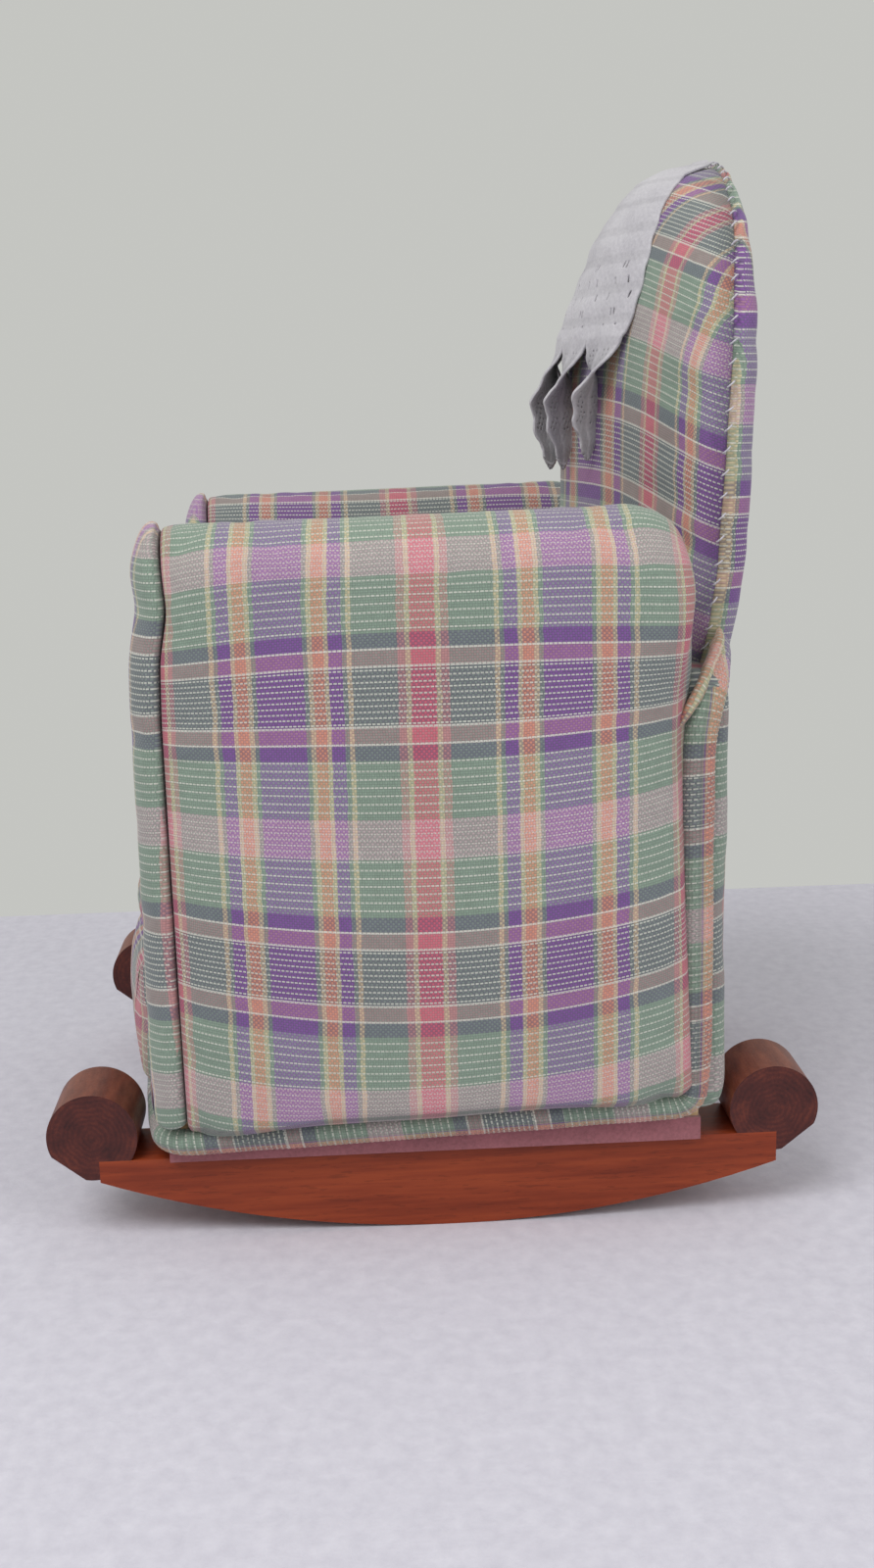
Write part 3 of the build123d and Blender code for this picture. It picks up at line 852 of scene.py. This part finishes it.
def apron():
    """Bowed front below the seat."""
    half = APRON_HIGH[0] - 0.3
    outline = rounded_box(-half, half, APRON_LOW[2] - 1.6, APRON_HIGH[2] + 0.2, 3.0, 1.8)
    middle = (APRON_LOW[2] + APRON_HIGH[2]) / 2
    spine = joined(np.clip(outline[:, 0], -32, 32), middle)
    seam = APRON_HIGH[1] - 0.5
    # Profile: inset, height, painted shade along the seam and on the hidden back
    profile = [(1.2, 0.0, 0.4), (0.2, 0.2, 0.1), (0, 0.45, 0), (0.2, 0.7, 0), (1.0, 0.86, 0)]
    profile += [(2.4, 0.96, 0), (4.6, 1.0, 0)]
    points, cloth = [], []
    for section, height, shade in pad_rings(outline, outward(outline), spine, profile, 0.08):
        front = bow(section[:, 0], APRON_LOW[1] + 5.4, APRON_LOW[1] + 0.5, half)
        y = seam + (front - seam) * height
        at = joined(section[:, 0], y, section[:, 1])
        at[:, 1] += pucker(at, 10.0, 0.4, 6.0) * height
        points.append(at)
        cloth.append(joined(section[:, 0] + 12, section[:, 1] - 44.0, shade))
    upholster("apron", points, cloth, (0.3, 0.8, 0.3), ["apron_cover", "apron_wadding"])


def seat_cushion():
    """Loose cushion: a crowned top and a flatter underside that meet in a seam round the middle."""
    half = SEAT_HIGH[0] - 0.4
    front, rear = SEAT_LOW[1] + 1.0, SEAT_HIGH[1] - 0.4
    bowed = [(x, bow(x, front + 4.2, front, half)) for x in np.linspace(-half + 3, half - 3, 20)]
    corners = [(-half, rear - 2), (-half, front + 7), *bowed, (half, front + 7), (half, rear - 2)]
    corners += [(half - 2, rear), (2 - half, rear)]
    outline = relaxed(spaced(corners, 2.2), 2)
    spine = joined(np.clip(outline[:, 0], -22, 22), (front + rear) / 2)
    middle = (SEAT_LOW[2] + SEAT_HIGH[2]) / 2
    rise = (SEAT_HIGH[2] - SEAT_LOW[2]) / 2
    # Profile: inset, height, painted shade at the seam round the middle
    profile = [(0, 0, 0.3), (0.35, 0.10, 0), (0.25, 0.35, 0), (0.5, 0.62, 0), (1.4, 0.82, 0)]
    profile += [(3.2, 0.93, 0), (7, 0.98, 0)]
    upper = pad_rings(outline, outward(outline), spine, profile, 0.10)[2:]
    lower = [(at, -height * 0.93, shade) for at, height, shade in upper[:0:-1]]
    points, cloth = [], []
    for at, height, shade in lower + upper:
        z = middle + rise * height
        spot = joined(at[:, 0], at[:, 1], z)
        spot[:, 2] += pucker(spot, 16.0, 0.5, 8.0) * max(height, 0)
        points.append(spot)
        side = (z - SEAT_HIGH[2]) * abs(1 - abs(height)) * 1.5
        cloth.append(joined(spot[:, 0] + 12, spot[:, 1] + side + 3, shade))
    covered = ["seat_cushion_cover", "seat_cushion_filling"]
    upholster("seat_cushion", points, cloth, (0.2, 0.4, 1.4), covered, CUSHION)


body_back()
apron()
seat_cushion()

# ---- piping round the foot


def smooth_path(corners, times, step):
    """Corners cut into curves, then points a step apart, and the length up to each."""
    line = np.array(corners, float)
    for _ in range(times):
        a, b = line[:-1], line[1:]
        cut = joined(a * 0.75 + b * 0.25, a * 0.25 + b * 0.75).reshape(-1, 3)
        line = np.concatenate([line[:1], cut, line[-1:]])
    lengths = np.concatenate([[0], np.cumsum(np.linalg.norm(np.diff(line, axis=0), axis=1))])
    at = np.linspace(0, lengths[-1], round(lengths[-1] / step))
    return np.stack([np.interp(at, lengths, line[:, k]) for k in range(3)], 1), at


def piping():
    """Ribbed cord along the foot, and as a thicker roll up each rear corner."""
    x, z = PIPE_HIGH[0] - 2.1, PIPE_LOW[2] + 1.2
    front, rear = PAD_LOW[1] + 1.4, ARM_HIGH[1] + 1.7
    top = PIPE_HIGH[2]
    low = z - 1.0
    pad_corner, middle = (45, PAD_LOW[1] - 0.6, low), (0, PIPE_LOW[1] + 1.8, low)
    half = [(x - 19, rear + 8, top + 5), (x - 9, rear + 5.5, top + 2), (x - 2, rear + 2, top - 3)]
    half += [(x, rear, top - 11), (x, rear, 60), (x, rear, z + 9), (x, rear, z + 1.8)]
    half += [(x, rear - 9, z + 1.6), (x, 0, z + 0.3), (x, front + 9, low), (x, front, low)]
    half += [pad_corner, (22, PIPE_LOW[1] + 2.3, low), middle]
    corners = half + [(-a, b, c) for a, b, c in half[-2::-1]]
    line, at = smooth_path(corners, 4, 0.24)

    # Across the cord: outward, and the other way. Along the front, outward is forward.
    ahead = np.gradient(line, axis=0)
    ahead /= np.linalg.norm(ahead, axis=1, keepdims=True)
    sideways = np.clip(np.abs(line[:, 0]) / x, 0, 1) ** 6
    out = joined(np.sign(line[:, 0]) * sideways, sideways - 1, 0)
    out -= ahead * np.sum(out * ahead, axis=1, keepdims=True)
    out /= np.linalg.norm(out, axis=1, keepdims=True)
    other = np.cross(ahead, out)

    wave = np.array([noise.noise(Vector(p) / 9) for p in line])
    rib = 0.5 + 0.5 * np.cos(2 * math.pi * at / 0.93 + 2.5 * wave)
    upright = np.clip((line[:, 2] - z) / 12, 0, 1)
    tip = np.sqrt(1 - np.clip((line[:, 2] - top - 1) / 4.2, 0, 0.98) ** 2)
    radius = (2.2 + 0.11 * rib + 0.12 * wave + 0.05 * upright) * tip
    widen = 1 + 0.36 * upright[:, None]
    points, cloth = [], []
    around = 16
    for turn in np.linspace(0, 2 * math.pi, around, endpoint=False):
        across = out * math.cos(turn) + other * math.sin(turn) * widen
        points.append(line + across * radius[:, None] + ahead * 0.35 * math.sin(turn))
        # Painted shade in the grooves between the ribs
        cloth.append(joined(6 + turn * 2.0, at * 1.08 + 7, 0.15 * (1 - rib)))
    points = np.array(points).transpose(1, 0, 2)
    cloth = np.array(cloth).transpose(1, 0, 2)
    first, last = (np.repeat(points[end].mean(0)[None, None], around, 1) for end in (0, -1))
    points = np.concatenate([first, points, last])
    cloth = np.concatenate([cloth[:1], cloth, cloth[-1:]])
    piece = build("piping", points, loft_faces(len(points), around), cloth, PLAID, levels=0)
    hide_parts("foot_piping")


def tube(line, radii, around):
    """Rings of points round a line, closed at both ends, as (ring, point, xyz)."""
    ahead = np.gradient(line, axis=0)
    ahead /= np.linalg.norm(ahead, axis=1, keepdims=True)
    side = np.cross(ahead, [0.3, 0.2, 1.0])
    side /= np.linalg.norm(side, axis=1, keepdims=True)
    other = np.cross(ahead, side)
    turn = np.linspace(0, 2 * math.pi, around, endpoint=False)[None, :, None]
    across = side[:, None] * np.cos(turn) + other[:, None] * np.sin(turn)
    rings = line[:, None] + across * radii[:, None, None]
    ends = [np.repeat(line[k][None, None], around, 1) for k in (0, -1)]
    return np.concatenate([ends[0], rings, ends[1]])


def corner_tuck(side, name):
    """The fold where the arm's cloth is tucked behind the backrest, along a peach stripe."""
    corners = [(57.2, 42.4, 91.0), (56.2, 44.8, 94.5), (52.4, 48.0, 98.6), (46.0, 51.4, 102.6)]
    corners += [(40.0, 53.0, 105.0)]
    line, at = smooth_path([(side * a, b, c) for a, b, c in corners], 3, 0.5)
    around = 14
    thick = np.sin(math.pi * (0.06 + 0.88 * at / at[-1]))
    rings = tube(line, 1.25 * np.sqrt(np.maximum(thick, 0)), around)
    rings += pucker(rings.reshape(-1, 3), 4.0, 0.35, 2.0).reshape(*rings.shape[:2], 1)
    stripe = np.linspace(15.4, 18.0, around)[None].repeat(len(rings), 0)
    lengthwise = np.concatenate([at[:1], at, at[-1:]])[:, None].repeat(around, 1)
    cloth = np.stack([stripe, lengthwise + 8, np.zeros_like(stripe)], 2)
    piece = build(name, rings, loft_faces(len(rings), around), cloth, PLAID)


def seam_stitches():
    """Hand stitches, one every few millimetres, over the seam round the backrest."""
    outline, _ = arch(ARCH_REACH + 0.35, 3.7)
    normal = outward(outline)
    bend = np.linspace(-1, 1, 7)
    around = 8
    points, faces = [], []
    for k in np.flatnonzero(outline[:, 1] > PANEL_LOW[2] + 1):
        ahead = np.array([-normal[k, 1], normal[k, 0]])
        slack = noise.noise(Vector((k * 0.7, 3.0, 1.0)))
        place = outline[k] + ahead * slack
        lengthwise = ahead * bend[:, None] * (0.55 + 0.3 * slack)
        flat = place + lengthwise + normal[k] * (0.02 - 0.45 * bend[:, None] ** 2)
        line = joined(flat[:, 0], back_seam(place[1]) + bend * 0.65, flat[:, 1])
        rings = tube(line, np.full(len(line), 0.15), around)
        start = len(points) * len(rings) * around
        faces += [tuple(start + i for i in face) for face in loft_faces(len(rings), around)]
        points.append(rings.reshape(-1, 3))
    points = np.concatenate(points)
    build("seam_stitches", points, faces, np.zeros_like(points), THREAD_LINEN, levels=0)


piping()
for side, word in ((1, "left"), (-1, "right")):
    corner_tuck(side, f"{word}_corner_tuck")
seam_stitches()

# ---- lace doily

LACE_LOW, LACE_HIGH = size("lace_doily")
DISC = LACE_HIGH[0] - 1.0
DISC_HEIGHT = LACE_LOW[2] + 25.0
DISC_RISE = LACE_HIGH[2] - DISC_HEIGHT - 1.1
LOBES = 5
LACE_STEP = 0.45
BODY_ROWS, LOBE_ROWS = 84, 50
PER_LOBE = 2 * round(DISC / LOBES / LACE_STEP) + 1
COLUMNS = PER_LOBE * LOBES
# Width of a lobe along its length, as a share of its width at the root
LEAF_PLACES = [0, 0.15, 0.3, 0.5, 0.7, 0.85, 0.94, 0.98, 1]
LEAF_WIDTHS = [1, 0.97, 0.92, 0.80, 0.62, 0.45, 0.30, 0.17, 0]


def pad_surface(x, z):
    """Y of the backrest pad's front at (x, z)."""
    centre = np.clip(z, BACK_FOOT + SPINE_RISE, ARCH_CENTRE)
    radius = np.hypot(x, z - centre)
    up = (z - centre) / np.maximum(radius, 1e-6)
    seam = back_seam(np.where(z > ARCH_CENTRE, ARCH_CENTRE + PAD_REACH * up, z))
    return seam - (seam - back_middle(z)) * back_depth(np.clip(radius / PAD_REACH, 0, 1), up**2)


def ease(share):
    """0 to 1 with no corner at either end."""
    share = min(max(share, 0), 1)
    return share * share * (3 - 2 * share)


def lace_body(b, half, root):
    """A row of the mat's body, which lies on the pad: X, Y and Z at each b, from edge (-1) to edge (1)."""
    x, z = b * half, np.full(COLUMNS, root)
    away = np.interp(z, [154, 158, 162, 175, 186, 189], [2.3, 1.9, 1.5, 1.2, 1.0, 0.7])
    swing = 0.35 * np.sin(b * LOBES * math.pi + math.pi / 2) * np.clip((172 - z) / 18, 0, 1)
    tented = np.interp(root, [172, 181, 185.5, 187.6], [0.3, 0.8, 1.8, 2.0]) * (1 - b**2)
    return x, pad_surface(x, z) - away - swing - tented, z


def lace_lobes(u, half, root, lobe, middle, offset):
    """A row across the lobes at u, from root (0) to tip (1), each lobe turning edge-on: X, Y, Z and painted
    shade.
    """
    leaf = np.interp(u, LEAF_PLACES, LEAF_WIDTHS) * (1 + 0.09 * math.cos(8 * math.pi * u) * min(1, 5 * u))
    width = half / LOBES * leaf
    bend = ease((u - 0.06) / 0.55)
    twist = math.radians(56) * bend
    turned = np.where(lobe >= LOBES // 2, 1, -1)
    centre = middle * half * (1 - 0.14 * u)
    length = np.interp(np.abs(middle), [0, 0.8], [25.5, 22.5]) + 0.8 * np.sin(lobe * 2.3)
    x = centre + offset * width * math.cos(twist)
    z = root - length * u * (1 - 0.05 * offset**2)
    leaning = pad_surface(centre + (x - centre) * (1 - bend), np.maximum(z, 142))
    away = np.interp(u, [0, 0.3, 0.6, 1], [2.3, 3.2, 3.4, 2.4])
    rim = np.clip((np.abs(offset) - 0.72) / 0.2, 0, 1)
    rib = np.exp(-((offset / 0.12) ** 2))
    y = leaning - away - turned * offset * width * math.sin(twist) - 0.25 * rib * (1 - u)
    # Painted shade on each lobe's turned face, left off its rim and lightened along its middle rib and near the
    # root
    return x, y, z, 0.34 * (1 - rim) * (1 - 0.6 * rib) * min(1, u / 0.25)


def lace_here(face):
    """False between two lobes, whose edges meet only above the lobes, and at an eyelet or a slit."""
    row, column = divmod(face[0], COLUMNS)
    at = column % PER_LOBE
    aside = abs(at - PER_LOBE // 2)
    if at == PER_LOBE - 1:
        return False
    if row > BODY_ROWS:
        netting = 2 < aside < PER_LOBE * 0.34 and 0.08 < (row - BODY_ROWS) / LOBE_ROWS < 0.72
        return not (netting and (row + at) % 3 == 0 and row % 2 == 0)
    slit_rows = BODY_ROWS - 30 < row < BODY_ROWS - 3 and row % 6 in (2, 3, 4)
    return not (slit_rows and aside == 1 + (row // 6) % 3 * 3)


def doily():
    """Round lace mat hung over the top of the backrest, with five pointed lobes that curl."""
    lobe, place = np.divmod(np.arange(COLUMNS), PER_LOBE)
    middle = (2 * lobe + 1) / LOBES - 1
    offset = 2 * place / (PER_LOBE - 1) - 1
    b = middle + offset / LOBES
    netted = np.sin(b * COLUMNS * math.pi / 4)
    rows, cloth = [], []
    for k in range(BODY_ROWS + LOBE_ROWS + 1):
        u = max(0, k - BODY_ROWS) / LOBE_ROWS
        turn = math.radians(78 - 85 * min(k / BODY_ROWS, 1) ** 0.9)
        half = DISC * math.cos(turn) ** 1.1
        root = DISC_HEIGHT + DISC_RISE * math.sin(turn)
        if k <= BODY_ROWS:
            x, y, z = lace_body(b, half, root)
            # Painted shade on a few rows in each twelve, in the hollows between the ridges
            shade = 0.10 * (abs(math.sin(k * 0.26)) > 0.9) * np.ones(COLUMNS)
        else:
            x, y, z, shade = lace_lobes(u, half, root, lobe, middle, offset)
        flat = min(half / DISC, 1)
        ridge = 0.16 * math.cos(k * 2 * math.pi / 12) * flat
        knots = 0.10 * netted * math.sin(k * math.pi / 2) * flat
        rows.append(joined(x, y - ridge - knots, z + np.clip((z - 170) / 20, 0, 1) * 0.5))
        cloth.append(joined(b, u, shade))
    faces = [face for face in loft_faces(len(rows), COLUMNS, closed=False) if lace_here(face)]
    points, cloth = np.concatenate(rows), np.concatenate(cloth)
    piece = build("lace_doily_sheet", points, faces, cloth, LACE)
    thick = piece.modifiers.new("thickness", "SOLIDIFY")
    thick.thickness = 0.5 * MM
    thick.offset = 0
    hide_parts("lace_doily")
    return piece


lace_sheet = doily()

# ---- CAD pieces that keep their shape


def carry(nodes, material, edge=0.0):
    """CAD nodes shown as they are, with this material and, for wood, slightly softened edges."""
    for name in nodes:
        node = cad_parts[name]
        node.data.materials.clear()
        node.data.materials.append(material)
        if edge:
            soft = node.modifiers.new("edge", "BEVEL")
            soft.width = edge * MM
            soft.segments = 2
            soft.limit_method = "ANGLE"
            soft.angle_limit = math.radians(40)
        node.data.polygons.foreach_set("use_smooth", [False] * len(node.data.polygons))


carry(["left_rocker", "right_rocker"], RUNNER, 0.35)
for end in ("front", "rear"):
    for word in ("left", "right"):
        name = f"{word}_{end}_scroll"
        low, high = size(name)
        middle = (low + high) / 2
        carry([name], scroll_wood(f"scroll_{word}_{end}", (middle[1], middle[2])), 0.35)
carry(["base_felt"], FELT, 0.3)
carry(["base_board", "left_side_board", "right_side_board", "front_board"], PLY)
carry(["seat_deck", "carcass_back_board", "backrest_board"], PLY)
carry(["rocker_screws"], STEEL)

# ---- stage, light and camera

FLOOR_REAR, FLOOR_FRONT, FLOOR_SIDE = -0.158, 2.042, 2.0
floor_mesh = bpy.data.meshes.new("floor")
corners = [(FLOOR_REAR, -FLOOR_SIDE, 0), (FLOOR_FRONT, -FLOOR_SIDE, 0)]
corners += [(FLOOR_FRONT, FLOOR_SIDE, 0), (FLOOR_REAR, FLOOR_SIDE, 0)]
floor_mesh.from_pydata(corners, [], [(0, 1, 2, 3)])
floor_mesh.materials.append(PALE_FLOOR)
floor = bpy.data.objects.new("floor", floor_mesh)
bpy.context.scene.collection.objects.link(floor)


def lamp(name, place, width, power):
    """Round soft lamp, aimed at the middle of the chair."""
    light = bpy.data.lights.new(name, "AREA")
    light.shape = "DISK"
    light.size = width
    light.energy = power
    holder = bpy.data.objects.new(name, light)
    holder.location = place
    holder.rotation_euler = (Vector((0, 0, 0.08)) - Vector(place)).to_track_quat("-Z", "Y").to_euler()
    bpy.context.scene.collection.objects.link(holder)


lamp("key", (0.55, -0.45, 0.95), 0.7, 6.8)
lamp("fill", (0.7, 0.8, 0.6), 0.9, 3.8)

world = bpy.data.worlds.new("studio")
world.use_nodes = True
background = world.node_tree.nodes["Background"]
background.inputs["Color"].default_value = (0.99, 1.0, 0.955, 1.0)
background.inputs["Strength"].default_value = 0.56
bpy.context.scene.world = world
bpy.context.scene.view_settings.view_transform = "Standard"

# The camera stands to the chair's left, a little above its arms, and looks slightly down and to the rear
EYE = Vector((339.3, -12.5, 143.7)) * MM
PITCH, YAW, ROLL = (math.radians(a) for a in (12.24, 2.82, -1.4))
looking = Vector((-math.cos(PITCH) * math.cos(YAW), math.cos(PITCH) * math.sin(YAW), -math.sin(PITCH)))
right = looking.cross(Vector((0, 0, 1))).normalized()
above = right.cross(looking)
rolled_right = right * math.cos(ROLL) + above * math.sin(ROLL)
rolled_above = above * math.cos(ROLL) - right * math.sin(ROLL)
lens = bpy.data.cameras.new("camera")
lens.sensor_width = 36.0
lens.lens = 39.48
camera = bpy.data.objects.new("camera", lens)
facing = Matrix((rolled_right, rolled_above, -looking)).transposed()
camera.matrix_world = Matrix.Translation(EYE) @ facing.to_4x4()
bpy.context.scene.collection.objects.link(camera)
bpy.context.scene.camera = camera
